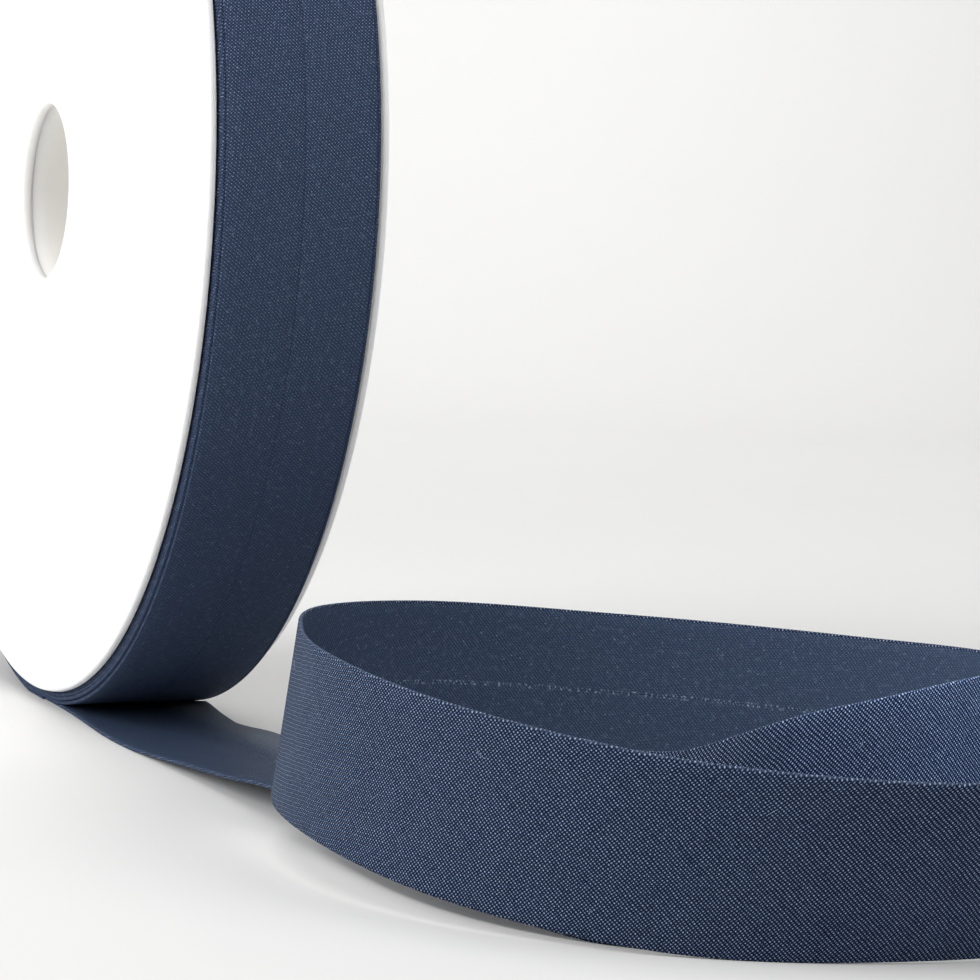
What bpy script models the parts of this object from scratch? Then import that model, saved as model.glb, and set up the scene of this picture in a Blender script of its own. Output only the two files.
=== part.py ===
"""Upright reel of single-fold bias tape, its loose end laid in one standing loop.

Metres, +Z up. The reel's axis lies along X and the resting surface is Z = 0. The origin is under
the middle of the reel, at the bottom of the roll, and the loose tape runs off towards -Y.
"""

import math
from collections import namedtuple

import bmesh
import bpy
from mathutils import Vector

OBJECT_NAME = "bias_tape_reel"
MM = 0.001

# The tape
TAPE_WIDTH = 0.0200
SHEET_THICKNESS = 0.0010

# The roll and the reel that it is wound on
ROLL_RADIUS = 0.0767
ROLL_CORNER = 0.0005
ROLL_FLAT_SAG = 0.0002
FLANGE_RADIUS = 0.0745
FLANGE_THICKNESS = 0.0012
FLANGE_RIM_ROUND = 0.0005
FLANGE_TO_ROLL = 0.0011
BORE_RADIUS = 0.0130
COLLAR_RADIUS = 0.0148
COLLAR_HEIGHT = 0.0005
HUB_STEP = 0.0003
HUB_WALL = 0.0020
PIECE_GAP = 0.0003

# Worked out from the sizes above
AXIS_HEIGHT = ROLL_RADIUS - ROLL_FLAT_SAG
FLANGE_INNER_FACE = TAPE_WIDTH / 2 + FLANGE_TO_ROLL
HUB_LENGTH = 2 * (FLANGE_INNER_FACE - COLLAR_HEIGHT - PIECE_GAP)
HUB_INNER_RADIUS = BORE_RADIUS + HUB_STEP
HUB_OUTER_RADIUS = HUB_INNER_RADIUS + HUB_WALL
ROLL_INNER_RADIUS = HUB_OUTER_RADIUS + PIECE_GAP

# Segments round each turned piece, and in each of its rounded corners
FLANGE_STEPS = 72
ROLL_STEPS = 120
HUB_STEPS = 48
CORNER_STEPS = 3

# The loose tape starts under the roll, heading to -Y with its plain side up
ROUTE_START = (-TAPE_WIDTH / 2, -0.0060)
ROUTE_HEADING = math.radians(-90)
ROUTE_STEP = 0.0005
SHEET_STARTS_AT = 0.0105
SECTION_SPACING = 0.0035
SECTION_PARTS = 4

# A row for each stretch of the loose tape: its length, how far it turns left in plan, and at its
# end how far the tape leans (0 lies flat, 90 stands on edge, more leans over outwards) and how
# high its lower edge is over the surface
Stretch = namedtuple("Stretch", "length_mm turn_deg lean_deg lift_mm")
STRETCHES = (
    Stretch(40, 0.7, 3.5, 0.0),
    Stretch(30, 0.4, -3.0, 2.0),
    Stretch(25, -1.3, 3.0, 4.0),
    Stretch(25, 2.1, 35.5, 0.2),
    Stretch(22, 21.1, 71.0, 1.0),
    Stretch(18, 27.2, 88.0, 0.0),
    Stretch(20, 36.3, 82.0, 4.0),
    Stretch(24, 30.0, 82.0, 6.0),
    Stretch(24, 28.6, 89.5, 1.8),
    Stretch(22, 34.8, 90.5, 2.4),
    Stretch(24, 37.1, 90.5, 2.0),
    Stretch(30, 33.7, 91.5, 3.0),
    Stretch(26, 30.3, 91.0, 4.8),
    Stretch(20, 27.1, 87.5, 5.6),
    Stretch(18, 32.8, 83.0, 5.6),
    Stretch(18, 23.0, 89.5, 5.0),
    Stretch(24, 28.2, 95.5, 2.4),
    Stretch(24, 26.6, 104.0, 0.2),
    Stretch(24, 20.0, 112.5, 0.0),
    Stretch(24, 24.9, 107.0, 0.8),
    Stretch(30, 31.2, 97.5, 0.2),
)


def clear_scene():
    for obj in list(bpy.data.objects):
        bpy.data.objects.remove(obj, do_unlink=True)


def make_collection(name):
    collection = bpy.data.collections.new(name)
    bpy.context.scene.collection.children.link(collection)
    return collection


def make_material(name, colour, roughness, metallic=0.0):
    material = bpy.data.materials.new(name)
    material.use_nodes = True
    shader = material.node_tree.nodes["Principled BSDF"]
    shader.inputs["Base Color"].default_value = (*colour, 1.0)
    shader.inputs["Roughness"].default_value = roughness
    shader.inputs["Metallic"].default_value = metallic
    return material


def add_mesh_object(name, mesh, collection, material=None):
    obj = bpy.data.objects.new(name, mesh)
    collection.objects.link(obj)
    if material:
        mesh.materials.append(material)
    return obj


def rounded_corner(centre, radius, start_deg):
    """A quarter circle in the (radius, height) plane, clockwise from start_deg."""
    points = []
    for step in range(CORNER_STEPS + 1):
        angle = math.radians(start_deg - 90 * step / CORNER_STEPS)
        points.append((centre[0] + radius * math.cos(angle), centre[1] + radius * math.sin(angle)))
    return points


def turned_piece(name, profile, steps, collection, material):
    """Turns a closed (radius, height) outline about the reel's axis with a Screw modifier."""
    mesh = bpy.data.meshes.new(name)
    count = len(profile)
    edges = [(i, (i + 1) % count) for i in range(count)]
    mesh.from_pydata([(radius, 0, height) for radius, height in profile], edges, [])
    obj = add_mesh_object(name, mesh, collection, material)
    screw = obj.modifiers.new("Turn", "SCREW")
    screw.axis = "Z"
    screw.steps = steps
    screw.render_steps = steps
    screw.use_merge_vertices = True
    screw.merge_threshold = 0.00001
    screw.use_smooth_shade = True
    return obj


def flange_profile():
    """Outer rim first, from the outer face down to the inner face, then the collar and the bore."""
    r = FLANGE_RIM_ROUND
    top = FLANGE_THICKNESS
    outline = rounded_corner((FLANGE_RADIUS - r, top - r), r, 90)
    outline += rounded_corner((FLANGE_RADIUS - r, r), r, 0)
    outline += [(COLLAR_RADIUS, 0), (COLLAR_RADIUS, -COLLAR_HEIGHT), (BORE_RADIUS, -COLLAR_HEIGHT)]
    outline += rounded_corner((BORE_RADIUS + r, top - r), r, 180)
    return outline


def roll_profile():
    half = TAPE_WIDTH / 2
    r = ROLL_CORNER
    outline = rounded_corner((ROLL_RADIUS - r, half - r), r, 90)
    outline += rounded_corner((ROLL_RADIUS - r, -half + r), r, 0)
    outline += [(ROLL_INNER_RADIUS, -half), (ROLL_INNER_RADIUS, half)]
    return outline


def hub_profile():
    half = HUB_LENGTH / 2
    return [
        (HUB_OUTER_RADIUS, half),
        (HUB_OUTER_RADIUS, -half),
        (HUB_INNER_RADIUS, -half),
        (HUB_INNER_RADIUS, half),
    ]


def build_flanges(collection, material):
    """The same disc twice, its outer face turned to -X on the near side and +X on the far side."""
    for name, side in (("near_flange", -1), ("far_flange", 1)):
        disc = turned_piece(name, flange_profile(), FLANGE_STEPS, collection, material)
        disc.rotation_euler = (0, side * math.pi / 2, 0)
        disc.location = (side * FLANGE_INNER_FACE, 0, AXIS_HEIGHT)


def build_hub(collection, material):
    tube = turned_piece("hub_tube", hub_profile(), HUB_STEPS, collection, material)
    tube.rotation_euler = (0, math.pi / 2, 0)
    tube.location = (0, 0, AXIS_HEIGHT)


def surface_cutter(collection):
    """A block whose top is the resting surface, which flattens the roll where it stands."""
    bpy.ops.mesh.primitive_cube_add(size=1)
    block = bpy.context.object
    block.name = "surface_cutter"
    depth = 0.02
    block.dimensions = (2 * TAPE_WIDTH, ROLL_RADIUS, depth)
    block.location = (0, 0, -depth / 2)
    for other in block.users_collection:
        other.objects.unlink(block)
    collection.objects.link(block)
    block.hide_render = True
    block.display_type = "WIRE"
    return block


def build_roll(collection, cutters, material):
    roll = turned_piece("wound_tape", roll_profile(), ROLL_STEPS, collection, material)
    roll.rotation_euler = (0, math.pi / 2, 0)
    roll.location = (0, 0, AXIS_HEIGHT)
    flat = roll.modifiers.new("Flat spot", "BOOLEAN")
    flat.operation = "DIFFERENCE"
    flat.solver = "EXACT"
    flat.object = surface_cutter(cutters)


class Track:
    """A value along the route that passes smoothly through its value at each stretch's end."""

    def __init__(self, places, values):
        self.places = places
        self.values = values
        last = len(values) - 1
        self.slopes = [0.0]
        for i in range(1, last):
            rise = values[i + 1] - values[i - 1]
            self.slopes.append(rise / (places[i + 1] - places[i - 1]))
        self.slopes.append((values[last] - values[last - 1]) / (places[last] - places[last - 1]))

    def at(self, place):
        last = len(self.places) - 2
        i = next((k for k in range(last) if place < self.places[k + 1]), last)
        span = self.places[i + 1] - self.places[i]
        t = (place - self.places[i]) / span
        blend = t * t * (3 - 2 * t)
        level = self.values[i] * (1 - blend) + self.values[i + 1] * blend
        leaving = self.slopes[i] * span * t * (1 - t) ** 2
        arriving = self.slopes[i + 1] * span * t * t * (t - 1)
        return level + leaving + arriving


def route_tracks():
    """The heading, lean and lift of the loose tape, each as a Track over the distance along it."""
    places = [0.0]
    headings = [0.0]
    leans = [0.0]
    lifts = [0.0]
    for row in STRETCHES:
        places.append(places[-1] + row.length_mm * MM)
        headings.append(headings[-1] + math.radians(row.turn_deg))
        leans.append(math.radians(row.lean_deg))
        lifts.append(row.lift_mm * MM)
    return Track(places, headings), Track(places, leans), Track(places, lifts)


def tape_sections():
    """Each section's lower edge and the direction from there to its upper edge.

    The sheet's middle is laid half its thickness up where it lies flat, so that its underside
    and not its middle is at the lift.
    """
    heading_track, lean_track, lift_track = route_tracks()
    length = heading_track.places[-1]
    steps = round(length / ROUTE_STEP)
    first = round(SHEET_STARTS_AT / ROUTE_STEP)
    spacing = round(SECTION_SPACING / ROUTE_STEP)
    x, y = ROUTE_START
    sections = []
    for step in range(steps + 1):
        place = step * length / steps
        heading = ROUTE_HEADING + heading_track.at(place)
        lean = lean_track.at(place)
        if step >= first and ((step - first) % spacing == 0 or step == steps):
            left = Vector((-math.sin(heading), math.cos(heading), 0))
            across = left * math.cos(lean) + Vector((0, 0, math.sin(lean)))
            lift = max(0.0, lift_track.at(place))
            height = lift + abs(math.cos(lean)) * SHEET_THICKNESS / 2
            sections.append((Vector((x, y, height)), across))
        halfway = ROUTE_HEADING + heading_track.at(min(place + length / steps / 2, length))
        x += math.cos(halfway) * length / steps
        y += math.sin(halfway) * length / steps
    return sections


def build_loose_tape(collection, material):
    """A flat strip of cells laid along the route, then thickened to the tape's two layers."""
    sections = tape_sections()
    strip = bmesh.new()
    bmesh.ops.create_grid(
        strip,
        x_segments=len(sections) - 1,
        y_segments=SECTION_PARTS,
        size=1,
    )
    for vert in strip.verts:
        index = round((vert.co.x + 1) / 2 * (len(sections) - 1))
        lower_edge, across = sections[index]
        vert.co = lower_edge + across * TAPE_WIDTH * (vert.co.y + 1) / 2
    mesh = bpy.data.meshes.new("loose_tape")
    strip.to_mesh(mesh)
    strip.free()
    mesh.shade_smooth()
    tape = add_mesh_object("loose_tape", mesh, collection, material)
    layers = tape.modifiers.new("Thickness", "SOLIDIFY")
    layers.thickness = SHEET_THICKNESS
    layers.offset = 0


def main():
    clear_scene()
    parts = make_collection(OBJECT_NAME)
    cutters = make_collection("cutters")
    white = make_material("reel_white", (0.86, 0.86, 0.84), 0.38)
    grey = make_material("hub_grey", (0.62, 0.64, 0.68), 0.50)
    navy = make_material("tape_navy", (0.030, 0.050, 0.105), 0.80)
    build_flanges(parts, white)
    build_hub(parts, grey)
    build_roll(parts, cutters, navy)
    build_loose_tape(parts, navy)


main()
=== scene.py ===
# %% [markdown]
# # A reel of bias tape
#
# Bias tape is a strip of plain cloth, cut at an angle to its threads and pressed so that both raw
# edges meet down the middle of its back. This lesson dresses a reel of it: two white moulded discs
# on a hub, about a hundred turns of navy tape, and the loose end laid in a standing loop.
#
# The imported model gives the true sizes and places. It is loaded first, and nothing in it is moved.

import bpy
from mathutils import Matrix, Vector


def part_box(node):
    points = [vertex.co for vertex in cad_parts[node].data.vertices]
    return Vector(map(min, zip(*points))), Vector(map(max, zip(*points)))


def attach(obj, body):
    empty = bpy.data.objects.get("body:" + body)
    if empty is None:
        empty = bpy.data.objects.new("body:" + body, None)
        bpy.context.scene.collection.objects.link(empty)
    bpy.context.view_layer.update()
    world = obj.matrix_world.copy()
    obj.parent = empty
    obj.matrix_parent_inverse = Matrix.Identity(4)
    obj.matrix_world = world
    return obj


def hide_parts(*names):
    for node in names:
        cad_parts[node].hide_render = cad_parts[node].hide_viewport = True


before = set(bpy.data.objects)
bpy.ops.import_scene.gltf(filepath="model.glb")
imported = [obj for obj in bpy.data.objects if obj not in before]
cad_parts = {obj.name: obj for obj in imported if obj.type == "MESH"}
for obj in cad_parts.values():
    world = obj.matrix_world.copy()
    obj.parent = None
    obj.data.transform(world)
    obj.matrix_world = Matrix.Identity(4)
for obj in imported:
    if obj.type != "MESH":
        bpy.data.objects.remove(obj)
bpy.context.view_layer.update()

# %% [markdown]
# ## Names for sizes
#
# A haberdasher thinks in millimetres and Blender in metres, so one constant turns one into the
# other. The reel's own sizes are read off the frame's nodes wherever a node carries them.

# %% Sizes
import math

import bpy
import bmesh
import numpy as np
from mathutils import Matrix, Vector

MM = 0.001

disc_low, disc_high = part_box("near_flange")
far_low, far_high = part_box("far_flange")
hub_low, hub_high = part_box("hub_tube")
roll_low, roll_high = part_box("wound_tape")

DISC_RADIUS = (disc_high.y - disc_low.y) / 2
AXIS_HEIGHT = (disc_high.z + disc_low.z) / 2
DISC_OUTER = -disc_low.x
DISC_INNER = 11.1 * MM
ROLL_RADIUS = (roll_high.y - roll_low.y) / 2
TAPE_WIDTH = roll_high.x - roll_low.x
BORE_RADIUS = 13.0 * MM
HUB_OUTER = (hub_high.y - hub_low.y) / 2
HUB_INNER = 13.12 * MM
HUB_HALF = (hub_high.x - hub_low.x) / 2 + 0.28 * MM
print("disc", round(DISC_RADIUS / MM, 2), "axis", round(AXIS_HEIGHT / MM, 2), "mm")
print("roll", round(ROLL_RADIUS / MM, 2), "tape", round(TAPE_WIDTH / MM, 2), "mm")
print("over the discs", round((far_high.x - disc_low.x) / MM, 2),
      "between them", round((far_low.x - disc_high.x) / MM, 2), "mm")

# %% [markdown]
# ## The camera
#
# The camera stands low in front of the reel, a little to its left, and looks past it to the loop.
# Its place and its turn were worked out from the outlines of the discs, the roll and the tape. The
# picture is square, so the focal length in pixels turns into a lens for a 36 mm sensor.

# %% Camera
PICTURE = 980
FOCAL_PIXELS = 2535.0
CAMERA_PLACE = Vector((-113.82, -372.70, 60.51)) * MM
CAMERA_YAW, CAMERA_PITCH, CAMERA_ROLL = (math.radians(a) for a in (25.410, -3.918, 2.233))

forward = Vector((
    math.sin(CAMERA_YAW) * math.cos(CAMERA_PITCH),
    math.cos(CAMERA_YAW) * math.cos(CAMERA_PITCH),
    math.sin(CAMERA_PITCH),
))
level = Vector((math.cos(CAMERA_YAW), -math.sin(CAMERA_YAW), 0))
upright = level.cross(forward)
right = level * math.cos(CAMERA_ROLL) + upright * math.sin(CAMERA_ROLL)
above = upright * math.cos(CAMERA_ROLL) - level * math.sin(CAMERA_ROLL)

camera = bpy.data.objects.new("camera", bpy.data.cameras.new("camera"))
camera.data.sensor_width = 36
camera.data.lens = FOCAL_PIXELS / PICTURE * camera.data.sensor_width
camera.data.clip_start = 10 * MM
turned_to = Matrix((right, above, -forward)).transposed()
camera.matrix_world = Matrix.Translation(CAMERA_PLACE) @ turned_to.to_4x4()
bpy.context.scene.collection.objects.link(camera)
bpy.context.scene.camera = camera
print("lens", round(camera.data.lens, 1), "mm")

# %% [markdown]
# ## Writing nodes as sums
#
# Shaders and Geometry Nodes are both trees of nodes. Wiring them by hand hides the maths, so a
# small class wraps a socket and overloads the operators: `1 - mask` or `a * b + c` adds the Math
# nodes itself. Every other node comes from one method, `Tree.add`, which takes the node's type, its
# settings, and what goes into its sockets. The same two classes serve both kinds of tree.

# %% Sockets that can be added and multiplied
class Socket:
    """One output of a node, which can be used in sums."""

    def __init__(self, tree, plug):
        self.tree = tree
        self.plug = plug

    def math(self, operation, *others):
        return self.tree.math(operation, self, *others)

    def __add__(self, other):
        return self.math("ADD", other)

    def __sub__(self, other):
        return self.math("SUBTRACT", other)

    def __rsub__(self, other):
        return self.tree.math("SUBTRACT", other, self)

    def __mul__(self, other):
        return self.math("MULTIPLY", other)

    def __truediv__(self, other):
        return self.math("DIVIDE", other)

    def __pow__(self, other):
        return self.math("POWER", other)

    def __neg__(self):
        return self.math("MULTIPLY", -1)

    def __abs__(self):
        return self.math("ABSOLUTE")

    __radd__ = __add__
    __rmul__ = __mul__

    def over(self, low, high):
        """0 below low, 1 above high, and a smooth rise between them."""
        settings = {"interpolation_type": "SMOOTHSTEP"}
        return self.tree.add("ShaderNodeMapRange", settings, {0: self, 1: low, 2: high})


class Tree:
    """A node tree that is filled from Python."""

    def __init__(self, nodes_of):
        self.tree = nodes_of

    def add(self, kind, settings=(), inputs=(), out=0):
        node = self.tree.nodes.new(kind)
        for name, value in dict(settings).items():
            if name == "stops":
                ramp = node.color_ramp.elements
                ramp.remove(ramp[1])
                ramp[0].position, ramp[0].color = value[0]
                for place, colour in value[1:]:
                    ramp.new(place).color = colour
            else:
                setattr(node, name, value)
        given = inputs.items() if isinstance(inputs, dict) else enumerate(inputs)
        for name, value in given:
            if isinstance(value, Socket):
                self.tree.links.new(value.plug, node.inputs[name])
            else:
                node.inputs[name].default_value = value
        return Socket(self, node.outputs[out]) if node.outputs else None

    def math(self, operation, *values):
        return self.add("ShaderNodeMath", {"operation": operation}, values)

    def noise(self, place, scale, detail=2.0):
        """Soft random values round 0.5."""
        settings = {"Vector": place, "Scale": scale, "Detail": detail}
        return self.add("ShaderNodeTexNoise", (), settings)

    def blend(self, share, first, second):
        """A colour between two colours."""
        colours = {0: share, 6: first, 7: second}
        return self.add("ShaderNodeMix", {"data_type": "RGBA"}, colours, out=2)

    def vector(self, x, y, z):
        """Three numbers as one vector."""
        return self.add("ShaderNodeCombineXYZ", (), [x, y, z])

    def part(self, vector, axis):
        """One number of a vector: 0, 1 or 2."""
        return self.add("ShaderNodeSeparateXYZ", (), [vector], out=axis)


# %% [markdown]
# ## Skinning rings of points
#
# Most of this object is a section carried along a path: a disc is a profile turned round an axis,
# and the tape is a folded section carried along its route. One helper skins both. It joins each
# ring of points to the next with quads, closes the ends of an open path, and turns all the faces
# outwards. `cut` keeps, for each point, where it lies on the flat strip of cloth, in millimetres.

# %% The loft helper
def grey(colour):
    return (*colour, 1.0)


def loft(name, rings, material, cut=None, endless=False):
    """A closed mesh through rings[i][j]; each ring is a closed loop of points."""
    rings = np.asarray(rings, float)
    count, around = rings.shape[:2]
    rows = count if endless else count - 1
    faces = []
    for i in range(rows):
        a, b = i * around, (i + 1) % count * around
        faces += [(a + j, a + (j + 1) % around, b + (j + 1) % around, b + j) for j in range(around)]
    if not endless:
        for start in (0, (count - 1) * around):
            for j in range(around // 2 - 1):
                faces.append([start + k for k in (j, j + 1, around - 2 - j, around - 1 - j)])
    mesh = bpy.data.meshes.new(name)
    mesh.from_pydata(rings.reshape(-1, 3).tolist(), [], faces)
    if cut is not None:
        layer = mesh.attributes.new("cut", "FLOAT_VECTOR", "POINT")
        layer.data.foreach_set("vector", np.asarray(cut, np.float32).ravel())
    shaped = bmesh.new()
    shaped.from_mesh(mesh)
    bmesh.ops.recalc_face_normals(shaped, faces=shaped.faces)
    shaped.to_mesh(mesh)
    shaped.free()
    mesh.shade_smooth()
    mesh.set_sharp_from_angle(angle=math.radians(50))
    mesh.materials.append(material)
    piece = bpy.data.objects.new(name, mesh)
    bpy.context.scene.collection.objects.link(piece)
    print(name, "has", len(mesh.polygons), "faces")
    return piece


def turned(name, profile, material, steps=224):
    """A profile of (x, radius) points turned round the reel's axis."""
    angles = np.linspace(0, 2 * math.pi, steps, endpoint=False)
    x, radius = np.asarray(profile, float).T
    rings = [
        np.stack([x, radius * math.sin(a), AXIS_HEIGHT + radius * math.cos(a)], 1) for a in angles
    ]
    return loft(name, rings, material, endless=True)


def arc(centre, radius, start, end, points=6):
    """Points on an arc in the profile's plane, angles in degrees."""
    angles = [math.radians(a) for a in np.linspace(start, end, points)]
    x, y = centre
    return [(x + radius * math.cos(a), y + radius * math.sin(a)) for a in angles]


# %% [markdown]
# ## White plastic
#
# The discs are moulded polystyrene: almost white, a little warm, satin rather than shiny. A flat
# white would look like paper, so light goes a few millimetres into the plastic before it comes out
# again. The surface gets the faint ripple that moulded sheet has, a few handling marks in its
# roughness, and a tint that is a little darker and warmer towards the rim.

# %% Plastic
RIM_FROM_EDGE = (1.6 * MM, 0.2 * MM)
RIPPLE_HEIGHT = 0.02 * MM
LIGHT_GOES_IN = 3 * MM


def plastic(name, colour, rim_colour, roughness):
    material = bpy.data.materials.new(name)
    material.use_nodes = True
    material.node_tree.nodes.clear()
    tree = Tree(material.node_tree)
    place = tree.add("ShaderNodeTexCoord", out=3)
    far_from_axis = tree.add(
        "ShaderNodeVectorMath", {"operation": "LENGTH"},
        [tree.add("ShaderNodeMapping", (), {
            0: place, "Location": (0, 0, -AXIS_HEIGHT), "Scale": (0, 1, 1)})], out=1,
    )
    rim = far_from_axis.over(*(DISC_RADIUS - width for width in RIM_FROM_EDGE))
    cloud = tree.noise(place, 24)
    scuff = tree.noise(place, 420, 4).over(0.56, 0.74)
    ripple = tree.noise(place, 260, 1)
    # Random clouds of tone, and a tint a little darker and warmer towards the rim.
    tinted = tree.blend(cloud * 0.10 + rim * 0.15, grey(colour), grey(rim_colour))
    bump = {"Strength": 0.25, "Distance": RIPPLE_HEIGHT, "Height": ripple}
    bump = tree.add("ShaderNodeBump", (), bump)
    surface = tree.add("ShaderNodeBsdfPrincipled", (), {
        "Base Color": tinted, "Roughness": scuff * 0.10 + roughness, "Normal": bump, "IOR": 1.55,
        "Subsurface Weight": 1.0, "Subsurface Radius": (1.0, 0.95, 0.85),
        "Subsurface Scale": LIGHT_GOES_IN,
    })
    tree.add("ShaderNodeOutputMaterial", (), {0: surface})
    return material


disc_plastic = plastic("disc_plastic", (0.84, 0.835, 0.82), (0.80, 0.785, 0.75), 0.42)
hub_plastic = plastic("hub_tube_plastic", (0.85, 0.83, 0.79), (0.81, 0.79, 0.745), 0.55)

# %% [markdown]
# ## The two discs and the hub
#
# Each disc is a thin turned shape, so its profile is drawn once and spun. Its outer edge rolls over
# in a soft shoulder and ends in a fine raised lip on the tape's side, which catches the light as a
# thin bright line. Round the bore the wall turns inwards in a short collar that the hub fits over.

# %% Discs and hub
SHOULDER = (0.45 * MM, 2.2 * MM)
LIP_WIDTH = 0.28 * MM
LIP_STANDS = 0.12 * MM
BORE_ROUND = 0.35 * MM
COLLAR_RADIUS = 14.8 * MM
COLLAR_HEIGHT = 0.5 * MM


def disc_profile(side):
    """(x, radius) down the outer face, round the rim and back along the tape's side."""
    body_radius = DISC_RADIUS - LIP_STANDS
    groove_x = DISC_INNER + LIP_WIDTH
    bore_x = DISC_OUTER - BORE_ROUND
    points = arc((bore_x, BORE_RADIUS + BORE_ROUND), BORE_ROUND, -90, 0)
    points += [(DISC_OUTER, radius * MM) for radius in (20, 35, 50, 64, 70)]
    for a in np.radians(np.linspace(0, 86, 14)):
        sunk = SHOULDER[0] * (1 - math.cos(a))
        points.append((DISC_OUTER - sunk, body_radius - SHOULDER[1] * (1 - math.sin(a))))
    points += [(groove_x, body_radius - 0.03 * MM)]
    lip = LIP_WIDTH / 2
    points += arc((DISC_INNER + lip, DISC_RADIUS - lip), lip, 30, 180, 6)
    points += [(DISC_INNER, radius * MM) for radius in (72, 60, 40, 20)]
    points += [(DISC_INNER, COLLAR_RADIUS), (DISC_INNER - COLLAR_HEIGHT, COLLAR_RADIUS - 0.1 * MM)]
    points += [(DISC_INNER - COLLAR_HEIGHT, BORE_RADIUS + 0.1 * MM), (DISC_INNER, BORE_RADIUS)]
    return [(side * x, radius) for x, radius in points]


near_disc = turned("near_disc", disc_profile(-1), disc_plastic)
far_disc = turned("far_disc", disc_profile(+1), disc_plastic)

hub_points = [(-HUB_HALF, HUB_INNER + 0.15 * MM), (-HUB_HALF + 0.15 * MM, HUB_INNER)]
hub_points += [(x * MM, HUB_INNER + 0.05 * MM * math.cos(x)) for x in range(-8, 9, 4)]
hub_points += [(HUB_HALF - 0.15 * MM, HUB_INNER), (HUB_HALF, HUB_INNER + 0.15 * MM)]
hub_points += [(HUB_HALF, HUB_OUTER), (-HUB_HALF, HUB_OUTER)]
hub = turned("hub", hub_points, hub_plastic, steps=128)

# %% [markdown]
# ## The weave
#
# The cloth is a plain weave: each thread goes over one and under the next. Where the strip is cut
# on the bias, both families of threads cross it at about 45 degrees. If `one` and `two` count the
# threads of the two families, then `cos(pi one) * cos(pi two)` is +1 where a thread of the first
# family lies on top, -1 where the second does, and 0 in the gaps. So two cosines and one product
# draw the whole weave, and the same number lifts the threads in the bump.
#
# Both counts come from the `cut` attribute, the place on the flat strip, so the threads follow the
# strip round its folds as they do in real cloth. A float is longer than it is wide, so each one is
# drawn in across its own thread, and noise makes some threads and some floats fuller than others.

# %% The weave
THREADS_ONE = (2.02, 1.83)
THREADS_TWO = (2.60, -2.77)
STRAY_MM = 0.4


def threads(tree, cut):
    """The weave from -1 to +1, first as it should be and then with uneven threads."""
    stray = tree.add("ShaderNodeTexNoise", (), {"Vector": cut, "Scale": 0.35, "Detail": 2}, out=1)
    place = tree.add("ShaderNodeVectorMath", {"operation": "MULTIPLY_ADD"},
                     [stray, (STRAY_MM, STRAY_MM, 0), cut])
    along, across = tree.part(place, 0), tree.part(place, 1)
    one = along * THREADS_ONE[0] + across * THREADS_ONE[1]
    two = along * THREADS_TWO[0] + across * THREADS_TWO[1]
    over_under = (one * math.pi).math("COSINE") * (two * math.pi).math("COSINE")

    one_on_top = over_under.over(-0.05, 0.05)
    narrow = one_on_top * (one * 2 * math.pi).math("COSINE")
    narrow = narrow + (1 - one_on_top) * (two * 2 * math.pi).math("COSINE")
    thick_threads = tree.noise(tree.vector(one * 0.9, two * 0.06, 0), 1.0, 0)
    thick_threads = thick_threads + tree.noise(tree.vector(one * 0.06, two * 0.9, 7), 1.0, 0)
    full_floats = tree.noise(tree.vector(one * 0.8, two * 0.8, 11), 1.0, 0)
    fullness = thick_threads * 0.25 + full_floats * 0.7 + 0.4
    return over_under, over_under * fullness * (narrow * 0.35 + 0.65)


# %% [markdown]
# ## Navy cloth
#
# The plain side is glossier, with bright floats, partly a painted sheen. The back, beyond the folds,
# is matt and mottled, and carries small specks of lint. Cut threads show as a dotted light line
# along the raw edges.
#
# The third number of `cut` marks two places on the loose tape that get painted light. Up to +1 is
# the part of the flat run that bends up: its colour goes towards a pale grey-blue, a painted sheen.
# Down to -1 is the stretch where the tape turns, painted brighter as if more light fell on it. On
# the roll the weave fades low down into the darker back colour, a painted shade.

# %% Cloth
HALF_WIDTH = 10.0
# The painted sheen on the bent-up band: its colour and its share.
PAINTED_SHEEN = (0.125, 0.142, 0.168)
PAINTED_SHEEN_SHARE = 0.75
# How much brighter the turning stretch is painted.
PAINTED_LIGHT_GAIN = 2.7
# Height, in metres, over which the painted shade low on the roll fades out.
PAINTED_SHADE_RISE = 0.11
# Heights over which the painted highlight on the fold edges comes in.
STANDING_FROM = (3 * MM, 8 * MM)
LINT = 0.35


def edge_lines(tree, body, cut, standing, light, shade_colour, edge, raw, line):
    """Painted highlight on standing folds, light raw edges, lint on the back, and painted shade
    lines.
    """
    along, across = tree.part(cut, 0), tree.part(cut, 1)
    from_middle = abs(across)
    on_back = from_middle.over(HALF_WIDTH + 0.1, HALF_WIDTH + 0.5)
    dotted = tree.noise(tree.vector(along * 2.6, across, 3), 1.0, 2)
    fold = 1 - abs(from_middle - HALF_WIDTH).over(0.0, 0.22)
    cut_end = from_middle.over(2 * HALF_WIDTH - 0.35, 2 * HALF_WIDTH - 0.1)
    speck = tree.add("ShaderNodeTexVoronoi", (), {"Vector": cut, "Scale": 0.9})
    # Painted highlight: a dotted light line along the fold edges where the tape stands up.
    painted_highlight_and_lint = fold * standing * dotted.over(0.3, 0.6) * edge
    painted_highlight_and_lint = painted_highlight_and_lint + cut_end * dotted.over(0.5, 0.64) * raw
    painted_highlight_and_lint = painted_highlight_and_lint + (1 - speck.over(0.05, 0.14)) * on_back * LINT
    body = tree.blend(painted_highlight_and_lint, body, grey(light))
    # Painted shade: dark lines in the crease beside the fold, in the seam between the raw edges, and
    # along the folds.
    pressed = 1 - abs(across + HALF_WIDTH + 0.42).over(0.03, 0.16)
    seam_shade = from_middle.over(2 * HALF_WIDTH - 0.16, 2 * HALF_WIDTH - 0.04)
    return tree.blend((pressed + seam_shade * 0.4 + fold * 0.5) * line, body, grey(shade_colour))


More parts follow.
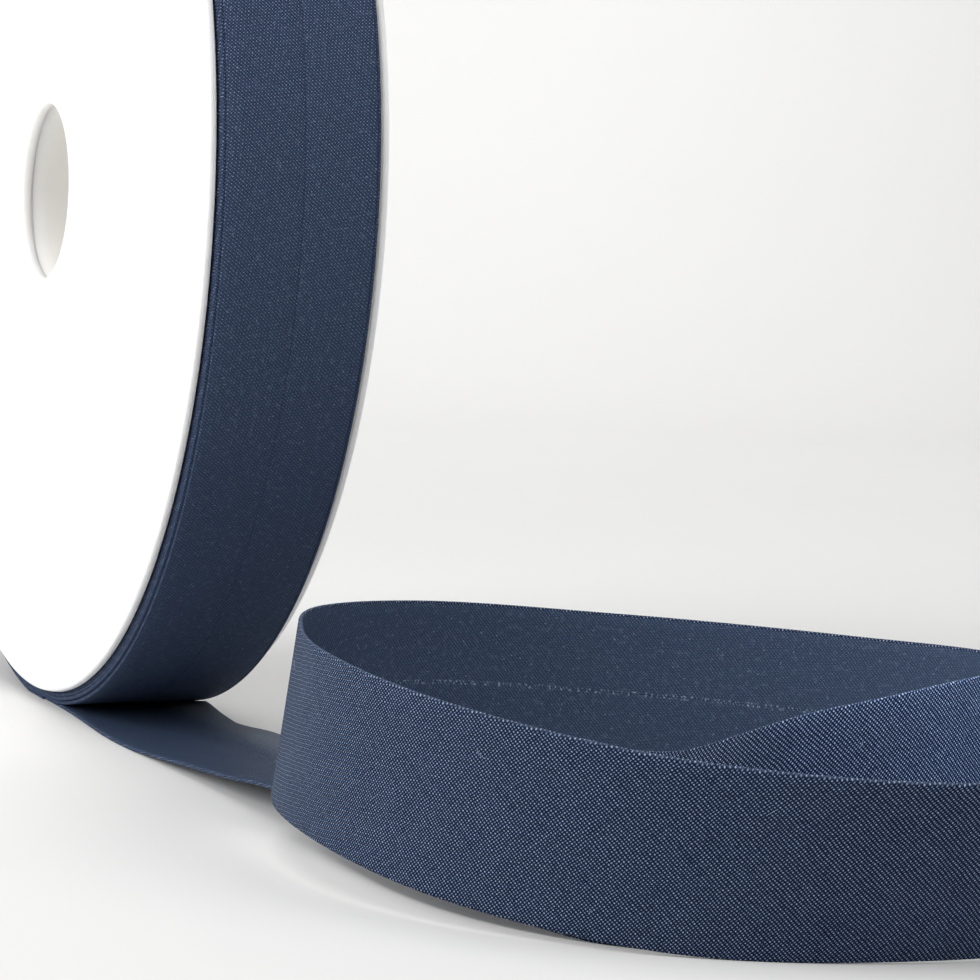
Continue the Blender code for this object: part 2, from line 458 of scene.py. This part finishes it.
def cloth(name, weave, back, back_weave, raw, line=0.0, relief=0.055, gloss=0.4,
          clear_above=0.0, edge=0.0):
    """Woven navy cloth. weave is a ramp from under (0) through the gap (0.5) to the float (1)."""
    material = bpy.data.materials.new(name)
    material.use_nodes = True
    material.node_tree.nodes.clear()
    tree = Tree(material.node_tree)
    cut = tree.add("ShaderNodeAttribute", {"attribute_name": "cut"}, out=1)
    over_under, uneven = threads(tree, cut)
    height = tree.part(tree.add("ShaderNodeTexCoord", out=3), 2)
    on_back = abs(tree.part(cut, 1)).over(HALF_WIDTH + 0.1, HALF_WIDTH + 0.5)

    stops = [(at, grey(colour)) for at, colour in weave]
    body = tree.add("ShaderNodeValToRGB", {"stops": stops}, [uneven * 0.5 + 0.5])
    body = tree.blend(on_back * (1 - back_weave), body, grey(back))
    # Painted shade: low on the roll the weave is blended towards the darker back colour.
    painted_low_shade = (1 - height.over(clear_above - PAINTED_SHADE_RISE, clear_above)) * 0.75
    body = tree.blend(painted_low_shade, body, grey(back))
    # Painted sheen on the bent-up band of the flat run.
    painted_light_marks = tree.part(cut, 2)
    body = tree.blend(painted_light_marks * PAINTED_SHEEN_SHARE, body, grey(PAINTED_SHEEN))
    # Painted light: where the tape turns, its colour is scaled up as if more light fell on it.
    painted_brighter = tree.add("ShaderNodeVectorMath", {"operation": "SCALE"},
                       {"Vector": body, "Scale": PAINTED_LIGHT_GAIN})
    body = tree.blend(painted_light_marks * -1 * (1 - on_back), body, painted_brighter)

    # The float colour serves for the painted fold highlight, the raw edges, lint and mottling.
    light = weave[-1][1]
    # The gap colour is also the colour of the painted shade lines.
    shade_colour = weave[len(weave) // 2][1]
    standing = height.over(*STANDING_FROM)
    body = edge_lines(tree, body, cut, standing, light, shade_colour, edge, raw, line)
    mottled = tree.noise(cut, 1.3, 3).over(0.5, 0.75)
    body = tree.blend(on_back * mottled * 0.10, body, grey(light))
    cloudy = tree.noise(cut, 0.06, 2) - 0.5
    body = tree.blend(cloudy * 0.16 + 0.03, body, grey(back))

    thread_height = abs(over_under) ** 0.6 + over_under * 0.3
    bump = tree.add("ShaderNodeBump", (), {
        "Strength": 0.75, "Distance": relief * MM, "Height": thread_height})
    floats = over_under.over(0.3, 1.0)
    surface = tree.add("ShaderNodeBsdfPrincipled", (), {
        "Base Color": body, "Roughness": 0.7 - floats * 0.2, "Normal": bump,
        "Specular IOR Level": 0.08, "Coat Weight": floats * (1 - on_back) * gloss,
        "Coat Roughness": 0.45,
    })
    tree.add("ShaderNodeOutputMaterial", (), {0: surface})
    return material


# The ramps are the threads' navy with painted light on it: the near-black gaps are painted shade
# between the threads, and the first family's floats are painted lighter than the second's as a
# sheen.
PLAIN_WEAVE = [
    (0.00, (0.1700, 0.2300, 0.3500)),
    (0.14, (0.0882, 0.1278, 0.2092)),
    (0.30, (0.0120, 0.0220, 0.0520)),
    (0.42, (0.0017, 0.0045, 0.0181)),
    (0.58, (0.0017, 0.0045, 0.0181)),
    (0.70, (0.0181, 0.0351, 0.0746)),
    (0.86, (0.0930, 0.1380, 0.2300)),
    (1.00, (0.2700, 0.3450, 0.4850)),
]
FLAP_WEAVE = [
    (0.00, (0.0950, 0.1430, 0.2350)),
    (0.14, (0.0650, 0.0980, 0.1680)),
    (0.30, (0.0240, 0.0390, 0.0780)),
    (0.50, (0.0120, 0.0210, 0.0480)),
    (0.66, (0.0280, 0.0450, 0.0880)),
    (0.80, (0.1000, 0.1450, 0.2350)),
    (1.00, (0.2500, 0.3200, 0.4500)),
]
# The loose tape gets a painted highlight on its standing folds (edge).
loose_cloth = cloth(
    "loose_tape_cloth", PLAIN_WEAVE, (0.040, 0.061, 0.108), 0.30,
    raw=0.7, gloss=0.5, edge=0.16,
)
# The roll gets dark lines of painted shade (line) beside its folds and in its seam.
wound_cloth = cloth(
    "wound_tape_cloth", FLAP_WEAVE, (0.036, 0.054, 0.101), 0.97,
    raw=0.0, line=0.8, relief=0.11, gloss=0.1, clear_above=0.13,
)

# %% [markdown]
# ## The route of the loose tape
#
# The loose end leaves the bottom of the roll, runs out flat, stands up on its edge and turns back
# in one loop. Its route is a short table: how far each stretch goes, how much it turns, how far the
# tape leans at its end (0 is flat, 90 stands on edge) and how high its lower edge is lifted. A
# smooth curve through the table gives every section between.
#
# A second table follows the cloth itself: along a soft diagonal crease the far part of the flat run
# bends up by a few degrees. That tilt, and a painted sheen in its colour, make it show as a lighter
# band.

# %% The route
ROUTE_START = (-10.0, 0.0)
ROUTE_HEADING = -90.0
SECTION_EVERY = 1.5

# Length mm, turn deg, lean deg, lift mm
ROUTE = [
    (6, 0.0, 0.0, 0.0), (12, -2.4, 0.0, 0.0), (12, 0.0, 0.0, 0.0),
    (16, 6.0, 1.0, 0.0), (30, -2.5, -1.5, 2.0), (25, -1.3, 3.0, 4.0),
    (25, 2.1, 32.5, 1.3), (22, 21.1, 54.5, 1.0), (18, 27.2, 62.0, 0.0),
    (20, 36.3, 78.0, 4.0), (24, 30.0, 82.0, 6.0), (24, 28.6, 89.5, 1.8), (22, 34.8, 90.5, 2.4),
    (24, 37.1, 90.5, 2.0), (30, 33.7, 91.5, 3.0), (26, 30.3, 91.0, 4.8), (20, 27.1, 87.5, 5.6),
    (18, 32.8, 83.0, 5.6), (18, 23.0, 89.5, 5.0), (24, 28.2, 95.5, 2.4), (24, 26.6, 104.0, 0.2),
    (24, 20.0, 112.5, 0.3), (24, 24.9, 107.0, 0.8), (30, 31.2, 97.5, 0.2),
]
# Where along the tape mm, where across it mm, bend deg
CREASE = [
    (0, 14.0, 0), (6, 14.0, 0), (11, 14.0, 4), (17, 14.0, 13), (24, 14.5, 8), (32, 15.5, 6),
    (40, 15.5, 9), (47, 15.0, 13), (56, 14.0, 10), (66, 13.0, 11), (81, 12.0, 12), (101, 10.0, 6),
    (118, 9.0, 0), (520, 9.0, 0),
]


def smooth(knots, values, at):
    """A curve through values at knots that neither rings nor breaks."""
    slope = np.zeros(len(knots))
    slope[1:-1] = (values[2:] - values[:-2]) / (knots[2:] - knots[:-2])
    slope[-1] = (values[-1] - values[-2]) / (knots[-1] - knots[-2])
    i = np.clip(np.searchsorted(knots, at, side="right") - 1, 0, len(knots) - 2)
    gap = knots[i + 1] - knots[i]
    t = (at - knots[i]) / gap
    start = values[i] * (1 + 2 * t) * (1 - t) ** 2 + slope[i] * gap * t * (1 - t) ** 2
    return start + values[i + 1] * t * t * (3 - 2 * t) + slope[i + 1] * gap * t * t * (t - 1)


rows = np.array(ROUTE)
knots = np.concatenate([[0], np.cumsum(rows[:, 0])])
ROUTE_LENGTH = knots[-1]
run = np.linspace(0, ROUTE_LENGTH, round(ROUTE_LENGTH / SECTION_EVERY) + 1)
turned_by = np.concatenate([[0], np.cumsum(rows[:, 1])])
heading = np.radians(ROUTE_HEADING + smooth(knots, turned_by, run))
lean = np.radians(smooth(knots, np.concatenate([[0], rows[:, 2]]), run))
lift = np.maximum(0, smooth(knots, np.concatenate([[0], rows[:, 3]]), run))
step = run[1] - run[0]
middle = (heading[1:] + heading[:-1]) / 2
edge_x = ROUTE_START[0] + np.concatenate([[0], np.cumsum(np.cos(middle))]) * step
edge_y = ROUTE_START[1] + np.concatenate([[0], np.cumsum(np.sin(middle))]) * step
forwards = np.stack([np.cos(heading), np.sin(heading), 0 * heading], 1)
sideways = np.stack([-np.sin(heading), np.cos(heading), 0 * heading], 1)
across_way = sideways * np.cos(lean)[:, None] + np.array([0, 0, 1.0]) * np.sin(lean)[:, None]
plain_way = np.cross(forwards, across_way)
print("route", round(ROUTE_LENGTH), "mm in", len(run), "sections")

# %% [markdown]
# ## The folded section
#
# Seen end-on, single-fold tape is a flat letter C: the plain front, a tight fold at each edge, and
# two flaps whose raw edges nearly meet behind. The section is drawn down the middle of the cloth,
# then given the cloth's thickness on both sides. Small soft waves keep the flaps from lying flat.

# %% Section of the tape
CLOTH = 0.26
BETWEEN_LAYERS = 0.29
FOLD_RADIUS = BETWEEN_LAYERS / 2
THICKNESS = CLOTH + BETWEEN_LAYERS
WIDTH = TAPE_WIDTH / MM
CREASE_SOFT = 3.0
CREASE_FULL = 13.0
# Where along the tape, in mm, the colour is painted brighter, and by how much.
PAINTED_LIGHT_STRETCH = ((176, 198, 210, 226), (0, 1, 1, 0))


def folded_line(raw_gap):
    """(across, out, on the flat strip) from one raw edge, round both folds, to the other."""
    flap = np.linspace(WIDTH / 2 - raw_gap / 2, FOLD_RADIUS, 8)
    front = np.linspace(FOLD_RADIUS, WIDTH - FOLD_RADIUS, 20)
    turn = np.radians(np.linspace(-90, -270, 6))[1:-1]
    left = [(FOLD_RADIUS + FOLD_RADIUS * math.cos(a), FOLD_RADIUS * math.sin(a)) for a in turn]
    points = [(x, -FOLD_RADIUS) for x in flap] + left + [(x, FOLD_RADIUS) for x in front]
    points += [(WIDTH - x, z) for x, z in reversed(left)]
    points += [(WIDTH - x, -FOLD_RADIUS) for x in flap[::-1]]
    points = np.array(points)
    lengths = np.concatenate([[0], np.cumsum(np.linalg.norm(np.diff(points, axis=0), axis=1))])
    return points, (lengths / lengths[-1] - 0.5) * 2 * WIDTH


def skin(points):
    """The section with the cloth's thickness: its outer side, then its inner side back again."""
    way = np.gradient(points, axis=0)
    way /= np.linalg.norm(way, axis=1)[:, None]
    outwards = np.stack([-way[:, 1], way[:, 0]], 1)
    return np.concatenate([points + outwards * CLOTH / 2, (points - outwards * CLOTH / 2)[::-1]])


def bent(section, crease_at, bend):
    """The section carried over the crease: flat before it, turned up after it."""
    fine = np.linspace(0, WIDTH, 81)
    angle = bend * np.clip((fine - crease_at) / CREASE_SOFT + 0.5, 0, 1)
    x = np.concatenate([[0], np.cumsum(np.cos(angle[1:]))]) * (fine[1] - fine[0])
    z = np.concatenate([[0], np.cumsum(np.sin(angle[1:]))]) * (fine[1] - fine[0])
    place, out = section.T
    turn = np.interp(place, fine, angle)
    bent_x = np.interp(place, fine, x) + np.minimum(place, 0) + np.maximum(place - WIDTH, 0)
    bent_z = np.interp(place, fine, z)
    return np.stack([bent_x - out * np.sin(turn), bent_z + out * np.cos(turn)], 1)


# %% [markdown]
# Now the section is set up at each step of the route, bent over the crease, and its rings are
# skinned. Each point also gets its place on the flat strip and the mark for the painted sheen or the
# painted brightening.

# %% The loose end
crease = np.array(CREASE, float)
rings, cut_places = [], []
for i, at in enumerate(run):
    raw_gap = 0.03 + 0.02 * math.sin(at / 9.1) * math.sin(at / 23.7 + 1)
    line, strip = folded_line(raw_gap)
    puff = np.exp(-((line[:, 0] - WIDTH / 2) / 3.0) ** 2) * (line[:, 1] < 0)
    line[:, 1] -= puff * (0.04 + 0.03 * math.sin(at / 13.0))
    section = skin(line)
    crease_at = np.interp(at, crease[:, 0], crease[:, 1])
    bend = np.interp(at, crease[:, 0], crease[:, 2])
    shape = bent(section, crease_at, math.radians(bend))
    base = np.array([edge_x[i], edge_y[i], lift[i] + abs(math.cos(lean[i])) * THICKNESS / 2])
    places = base + shape[:, :1] * across_way[i] + shape[:, 1:] * plain_way[i]
    rings.append(places)
    both = np.concatenate([strip, strip[::-1]])
    # Painted light marks: up to +1 for the sheen on the bent-up band, down to -1 on the stretch
    # painted brighter.
    painted_sheen_mark = np.clip((section[:, 0] - crease_at) / CREASE_SOFT, 0, 1) * bend / CREASE_FULL
    marks = painted_sheen_mark - np.interp(at, *PAINTED_LIGHT_STRETCH)
    cut_places.append(np.stack([np.full(len(both), at), both, marks], 1))
rings = np.array(rings) * MM
print("lowest point", round(rings[:, :, 2].min() / MM, 3), "mm")
rings[:, :, 2] = np.maximum(rings[:, :, 2], 0)
loose_end = loft("loose_end", rings, loose_cloth, cut=cut_places)

# %% [markdown]
# ## The wound turns
#
# The roll is one long spiral, and its outer turns show at the edge beyond the disc. Pressed under
# the turns above it, the tape is a flat bar with round edges and a shallow groove on its back. That
# section is drawn once, with each point's place across the strip, and swept along the spiral later.

# %% Section of a wound turn
WOUND_HALF = 10.23


def wound_section():
    """The pressed tape as one closed outline, with a shallow groove where the raw edges meet."""
    half, thick = WOUND_HALF, THICKNESS / 2
    groove = [(-0.12, thick, -19.88), (-0.02, thick - 0.03, -19.98)]
    groove += [(-x, z, -v) for x, z, v in reversed(groove)]
    right = [(x, thick, 20 - x) for x in (2.0, 5.0, 8.0)]
    edge = [(half - 0.16 + 0.16 * math.cos(a), thick * math.sin(a), 10.16 - 0.16 * math.cos(a))
            for a in np.radians(np.linspace(90, -90, 7))]
    under = [(x, -thick, x) for x in (8.0, 4.0, 0.0, -4.0, -8.0)]
    points = groove + right + edge + under
    points += [(-x, z, -v) for x, z, v in reversed(edge)]
    points += [(-x, z, -v) for x, z, v in reversed(right)]
    mesh = bpy.data.meshes.new("wound_section")
    count = len(points)
    edges = [(i, (i + 1) % count) for i in range(count)]
    mesh.from_pydata([(x * MM, z * MM, 0) for x, z, _ in points], edges, [])
    layer = mesh.attributes.new("across_strip", "FLOAT", "POINT")
    layer.data.foreach_set("value", [v for _, _, v in points])
    return bpy.data.objects.new("wound_section", mesh)


section_guide = wound_section()
bpy.context.scene.collection.objects.link(section_guide)

# %% [markdown]
# ## Geometry trees with dials
#
# A geometry tree is a small machine: named inputs are its dials. `group` makes an empty tree with
# its dials, and `grown` sets them, lets Blender work the tree out once and keeps a plain mesh.

# %% Helpers for Geometry Nodes
def group(name, sizes):
    """An empty geometry tree with named inputs; returns it with its sockets by name."""
    tree = bpy.data.node_groups.new(name, "GeometryNodeTree")
    tree.interface.new_socket("Geometry", in_out="INPUT", socket_type="NodeSocketGeometry")
    for label, kind in sizes:
        tree.interface.new_socket(label, in_out="INPUT", socket_type="NodeSocket" + kind)
    tree.interface.new_socket("Geometry", in_out="OUTPUT", socket_type="NodeSocketGeometry")
    entry = tree.nodes.new("NodeGroupInput")
    wrapped = Tree(tree)
    labels = ["Geometry"] + [label for label, _ in sizes]
    return wrapped, {label: Socket(wrapped, entry.outputs[label]) for label in labels}


def grown(name, tree, values):
    """Runs a geometry tree on an empty mesh or a guide and keeps the result as a plain mesh."""
    start = values.pop("start", None) or bpy.data.meshes.new(name + "_start")
    guide = bpy.data.objects.new(name + "_guide", start)
    bpy.context.scene.collection.objects.link(guide)
    modifier = guide.modifiers.new(name, "NODES")
    modifier.node_group = tree
    for item in tree.interface.items_tree:
        if item.in_out == "INPUT" and item.name in values:
            modifier[item.identifier] = values[item.name]
    evaluated = guide.evaluated_get(bpy.context.evaluated_depsgraph_get())
    mesh = bpy.data.meshes.new_from_object(evaluated)
    bpy.data.objects.remove(guide)
    piece = bpy.data.objects.new(name, mesh)
    bpy.context.scene.collection.objects.link(piece)
    print(name, "has", len(mesh.polygons), "faces from", tree.name)
    return piece


# %% [markdown]
# ## The spiral
#
# A line of points is moved onto a spiral by a formula, and the section is swept along it. The dials
# are the real sizes: turns, pitch, radius and axis height. Where the roll stands on the table its
# turns are pressed flat, which is the same formula's last term, and each turn wanders a little
# sideways, as hand-fed tape does.

# %% The spiral in Geometry Nodes
TURNS = 12
STEPS_A_TURN = 180
TURN_PITCH = 0.57 * MM
OUTER_RADIUS = 76.95 * MM
SIDE_SHIFT = -0.20 * MM
INNER_SHIFT = -0.35 * MM
SIDE_WANDER = 0.12 * MM

spiral, given = group("wound spiral", [
    ("Turns", "Int"), ("Steps a turn", "Int"), ("Pitch", "Float"), ("Outer radius", "Float"),
    ("Axis height", "Float"), ("Section", "Object"), ("Cloth", "Material"),
])
count = given["Turns"] * given["Steps a turn"] + 1
line = spiral.add("GeometryNodeMeshLine", (), {"Count": count})
index = spiral.add("GeometryNodeInputIndex")
turns_left = given["Turns"] - index / given["Steps a turn"]
angle = turns_left * (-2 * math.pi)
radius = given["Outer radius"] - given["Pitch"] * 0.5 - given["Pitch"] * turns_left
y = radius * angle.math("SINE") * -1
z = given["Axis height"] - radius * angle.math("COSINE")
outer_middle = given["Outer radius"] - given["Pitch"] * 0.5
round_drop = (outer_middle * outer_middle - y * y).math("MAXIMUM", 0).math("SQRT")
below_table = given["Pitch"] * 0.5 - (given["Axis height"] - round_drop)
pressed = below_table.math("MAXIMUM", 0) * (1 - turns_left / given["Turns"])
low_half = 1 - (z / given["Axis height"]).over(0.2, 0.5)
wander = spiral.noise(spiral.vector(turns_left * 1.7, 0, 0), 1.0, 1) - 0.5
x = wander * SIDE_WANDER + SIDE_SHIFT + turns_left.over(0.98, 1.02) * INNER_SHIFT
place = spiral.vector(x, y, z + pressed * low_half)
line = spiral.add("GeometryNodeSetPosition", (), {"Geometry": line, "Position": place})
run_mm = -turns_left * (2 * math.pi * ROLL_RADIUS / MM)
number = {"data_type": "FLOAT", "domain": "POINT"}
line = spiral.add("GeometryNodeStoreNamedAttribute", number,
                  {"Geometry": line, "Name": "along_strip", "Value": run_mm})
path = spiral.add("GeometryNodeMeshToCurve", (), [line])
outline = spiral.add("GeometryNodeObjectInfo", (), {"Object": given["Section"]}, out=4)
outline = spiral.add("GeometryNodeMeshToCurve", (), [outline])
swept = spiral.add("GeometryNodeCurveToMesh", (), {
    "Curve": path, "Profile Curve": outline, "Fill Caps": True})
strip = [
    spiral.add("GeometryNodeInputNamedAttribute", {"data_type": "FLOAT"}, {"Name": name})
    for name in ("along_strip", "across_strip")
]
three_numbers = {"data_type": "FLOAT_VECTOR", "domain": "POINT"}
swept = spiral.add("GeometryNodeStoreNamedAttribute", three_numbers,
                   {"Geometry": swept, "Name": "cut", "Value": spiral.vector(*strip, 0)})
swept = spiral.add("GeometryNodeRealizeInstances", (), [swept])
swept = spiral.add("GeometryNodeSetMaterial", (), {"Geometry": swept, "Material": given["Cloth"]})
spiral.add("NodeGroupOutput", (), [swept])

wound_turns = grown("wound_turns", spiral.tree, {
    "Turns": TURNS, "Steps a turn": STEPS_A_TURN, "Pitch": TURN_PITCH,
    "Outer radius": OUTER_RADIUS, "Axis height": AXIS_HEIGHT, "Section": section_guide,
    "Cloth": wound_cloth,
})
bpy.data.objects.remove(section_guide)
wound_turns.data.shade_smooth()
corner = [v.co for v in wound_turns.data.vertices]
print("wound box", [round(min(c[k] for c in corner) / MM, 2) for k in range(3)],
      [round(max(c[k] for c in corner) / MM, 2) for k in range(3)])

# %% [markdown]
# The turns further in are hidden by the discs. They are one turned core whose flanks carry the
# ripple of the folded edges, so the gap beside the disc still looks wound from any side.

# %% Core of the roll
CORE_RADIUS = OUTER_RADIUS - (TURNS + 0.2) * TURN_PITCH
CORE_INNER = 15.6 * MM
CORE_HALF = 10.2 * MM


def flank(side, radii):
    """Points along one flank; every second one stands back a little."""
    shift = SIDE_SHIFT + INNER_SHIFT
    halves = [CORE_HALF - SIDE_WANDER * (i % 2) for i in range(len(radii))]
    return [(shift + side * half, radius) for half, radius in zip(halves, radii)]


core_radii = np.linspace(CORE_INNER, CORE_RADIUS, 121)
core_profile = flank(-1, core_radii) + flank(+1, core_radii[::-1])
core = turned("wound_core", core_profile, wound_cloth, steps=96)

# %% [markdown]
# ## Loose fibres
#
# Cut cloth sheds: along the folded edges a few thin fibres stand off. They follow a path and
# repeat, so Geometry Nodes sets them: points along the edges, one small curved fibre on each,
# turned and sized at random with a fixed seed.

# %% Guide lines for the fibres
FIBRES_FROM_MM = 130
EDGE_PLACES = (27, 5)


def edge_guide():
    """Two lines along the upright part of the loose tape, as a mesh of edges."""
    points, edges = [], []
    first = int(FIBRES_FROM_MM / step)
    for place in EDGE_PLACES:
        line = rings[first:, place]
        start = len(points)
        points += line.tolist()
        edges += [(start + k, start + k + 1) for k in range(len(line) - 1)]
    mesh = bpy.data.meshes.new("edge_guide")
    mesh.from_pydata(points, edges, [])
    return mesh


# %% [markdown]
# One fibre is a short curve with a bow in it, swept with a five-sided ring. The real ones are far
# thinner than a thread, so 0.035 mm is enough, and most are much shorter than the longest.

# %% Fibres
THREAD_COLOUR = (0.34, 0.42, 0.55)
THREAD_ROUGHNESS = 0.7

fuzz, given = group("loose fibres", [
    ("Fibres", "Int"), ("Length", "Float"), ("Thickness", "Float"), ("Seed", "Int"),
    ("Thread", "Material"),
])
line = fuzz.add("GeometryNodeMeshToCurve", (), [given["Geometry"]])
spots = fuzz.add("GeometryNodeCurveToPoints", {"mode": "COUNT"},
                 {"Curve": line, "Count": given["Fibres"]})
size = given["Length"]
tip = fuzz.vector(size * 0.45, size * 0.2, size)
bow = fuzz.vector(size * -0.15, 0.0, size * 0.55)
hair = fuzz.add("GeometryNodeCurveQuadraticBezier", (), {
    "Resolution": 6, "Start": (0, 0, 0), "Middle": bow, "End": tip})
ring = fuzz.add("GeometryNodeCurvePrimitiveCircle", (), {
    "Resolution": 5, "Radius": given["Thickness"] * 0.5})
hair = fuzz.add("GeometryNodeCurveToMesh", (), {
    "Curve": hair, "Profile Curve": ring, "Fill Caps": True})
turn_any = fuzz.add("FunctionNodeRandomValue", {"data_type": "FLOAT_VECTOR"},
                    {0: (-1.3, -1.3, 0), 1: (1.3, 1.3, 6.28), "Seed": given["Seed"]})
grow_any = fuzz.add("FunctionNodeRandomValue", {"data_type": "FLOAT"},
                    {2: 0.25, 3: 1.0, "Seed": given["Seed"] + 1}, out=1)
hairs = fuzz.add("GeometryNodeInstanceOnPoints", (), {
    "Points": spots, "Instance": hair, "Rotation": turn_any, "Scale": grow_any ** 2})
hairs = fuzz.add("GeometryNodeRealizeInstances", (), [hairs])
hairs = fuzz.add("GeometryNodeSetMaterial", (), {"Geometry": hairs, "Material": given["Thread"]})
fuzz.add("NodeGroupOutput", (), [hairs])

thread = bpy.data.materials.new("loose_thread")
thread.use_nodes = True
thread_surface = thread.node_tree.nodes["Principled BSDF"]
thread_surface.inputs["Base Color"].default_value = grey(THREAD_COLOUR)
thread_surface.inputs["Roughness"].default_value = THREAD_ROUGHNESS
fibres = grown("fibres", fuzz.tree, {
    "start": edge_guide(), "Fibres": 110, "Length": 1.1 * MM, "Thickness": 0.035 * MM, "Seed": 7,
    "Thread": thread,
})

# %% [markdown]
# ## Floor and light
#
# The photograph is a pale studio sweep. The big soft key light stands on the left, so the near disc
# is almost white. A weaker one overhead lights the top of the roll, and a faint one in front on the
# right opens the shadows inside the loop. The fourth one only lights the backdrop, far behind, and
# a pale world fills the rest.

# %% Studio
def sweep():
    """Floor and backdrop in one curved sheet that faces the camera."""
    reach, bend, top = 1.6, 0.6, 1.7
    line = [(-1.6, 0.0)] + [(reach - bend, 0.0)]
    line += [(reach - bend + bend * math.sin(a), bend - bend * math.cos(a))
             for a in np.radians(np.linspace(6, 90, 15))]
    line += [(reach, top)]
    mesh = bpy.data.meshes.new("sweep")
    far, wide = Vector((forward.x, forward.y, 0)).normalized(), level
    points = [far * d + wide * s + Vector((0, 0, h)) for d, h in line for s in (-2.2, 2.2)]
    faces = [(2 * i, 2 * i + 1, 2 * i + 3, 2 * i + 2) for i in range(len(line) - 1)]
    mesh.from_pydata(points, [], faces)
    mesh.shade_smooth()
    return bpy.data.objects.new("sweep", mesh)


floor = sweep()
bpy.context.scene.collection.objects.link(floor)
paper = bpy.data.materials.new("sweep_paper")
paper.use_nodes = True
paper.node_tree.nodes.clear()
tree = Tree(paper.node_tree)
grain = tree.noise(tree.add("ShaderNodeTexCoord", out=3), 9, 3)
pale, paler = grey((0.635, 0.63, 0.625)), grey((0.665, 0.66, 0.65))
paper_surface = tree.add("ShaderNodeBsdfPrincipled", (), {
    "Base Color": tree.blend(grain * 0.3, paler, pale), "Roughness": grain * 0.1 + 0.75})
tree.add("ShaderNodeOutputMaterial", (), {0: paper_surface})
floor.data.materials.append(paper)


SUBJECT = Vector((0, -0.06, 0.04))
WORLD_COLOUR = (0.95, 0.97, 1.0)
WORLD_STRENGTH = 0.28


def softbox(name, towards, distance, size, power, aim=SUBJECT):
    """A round soft light that stands in the direction given and looks at the reel, or at aim."""
    lamp = bpy.data.lights.new(name, "AREA")
    lamp.shape = "DISK"
    lamp.size = size
    lamp.energy = power
    light = bpy.data.objects.new(name, lamp)
    light.location = Vector(towards).normalized() * distance + SUBJECT
    light.rotation_euler = (light.location - Vector(aim)).to_track_quat("Z", "Y").to_euler()
    bpy.context.scene.collection.objects.link(light)


softbox("key", (-0.90, 0.05, 0.40), 1.3, 1.3, 21.5)
softbox("overhead", (-0.15, -0.10, 1.00), 1.3, 1.4, 9.5)
softbox("front", (0.50, -0.85, 0.62), 1.2, 0.9, 6)
softbox("backdrop", (0.40, 0.95, 0.95), 1.5, 1.2, 7.4, aim=(0.75, 1.50, 0.25))
world = bpy.data.worlds.new("studio")
world.use_nodes = True
world.node_tree.nodes["Background"].inputs[0].default_value = grey(WORLD_COLOUR)
world.node_tree.nodes["Background"].inputs[1].default_value = WORLD_STRENGTH
bpy.context.scene.world = world
bpy.context.scene.view_settings.view_transform = "Standard"

# %% [markdown]
# ## The pieces
#
# Each row gives a piece, the plain node it stands for and the name of its finish. Each piece rides
# on the root body, and its plain node is hidden.

# %% The pieces
PIECES = [
    (near_disc, "near_flange", "reel_plastic"),
    (far_disc, "far_flange", "reel_plastic"),
    (hub, "hub_tube", "hub_plastic"),
    (wound_turns, "wound_tape", "wound_cloth"),
    (core, "wound_tape", "wound_cloth"),
    (loose_end, "loose_tape", "loose_cloth"),
    (fibres, "loose_tape", "loose_cloth"),
]
for piece, node, finish in PIECES:
    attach(piece, "root")
    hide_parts(node)
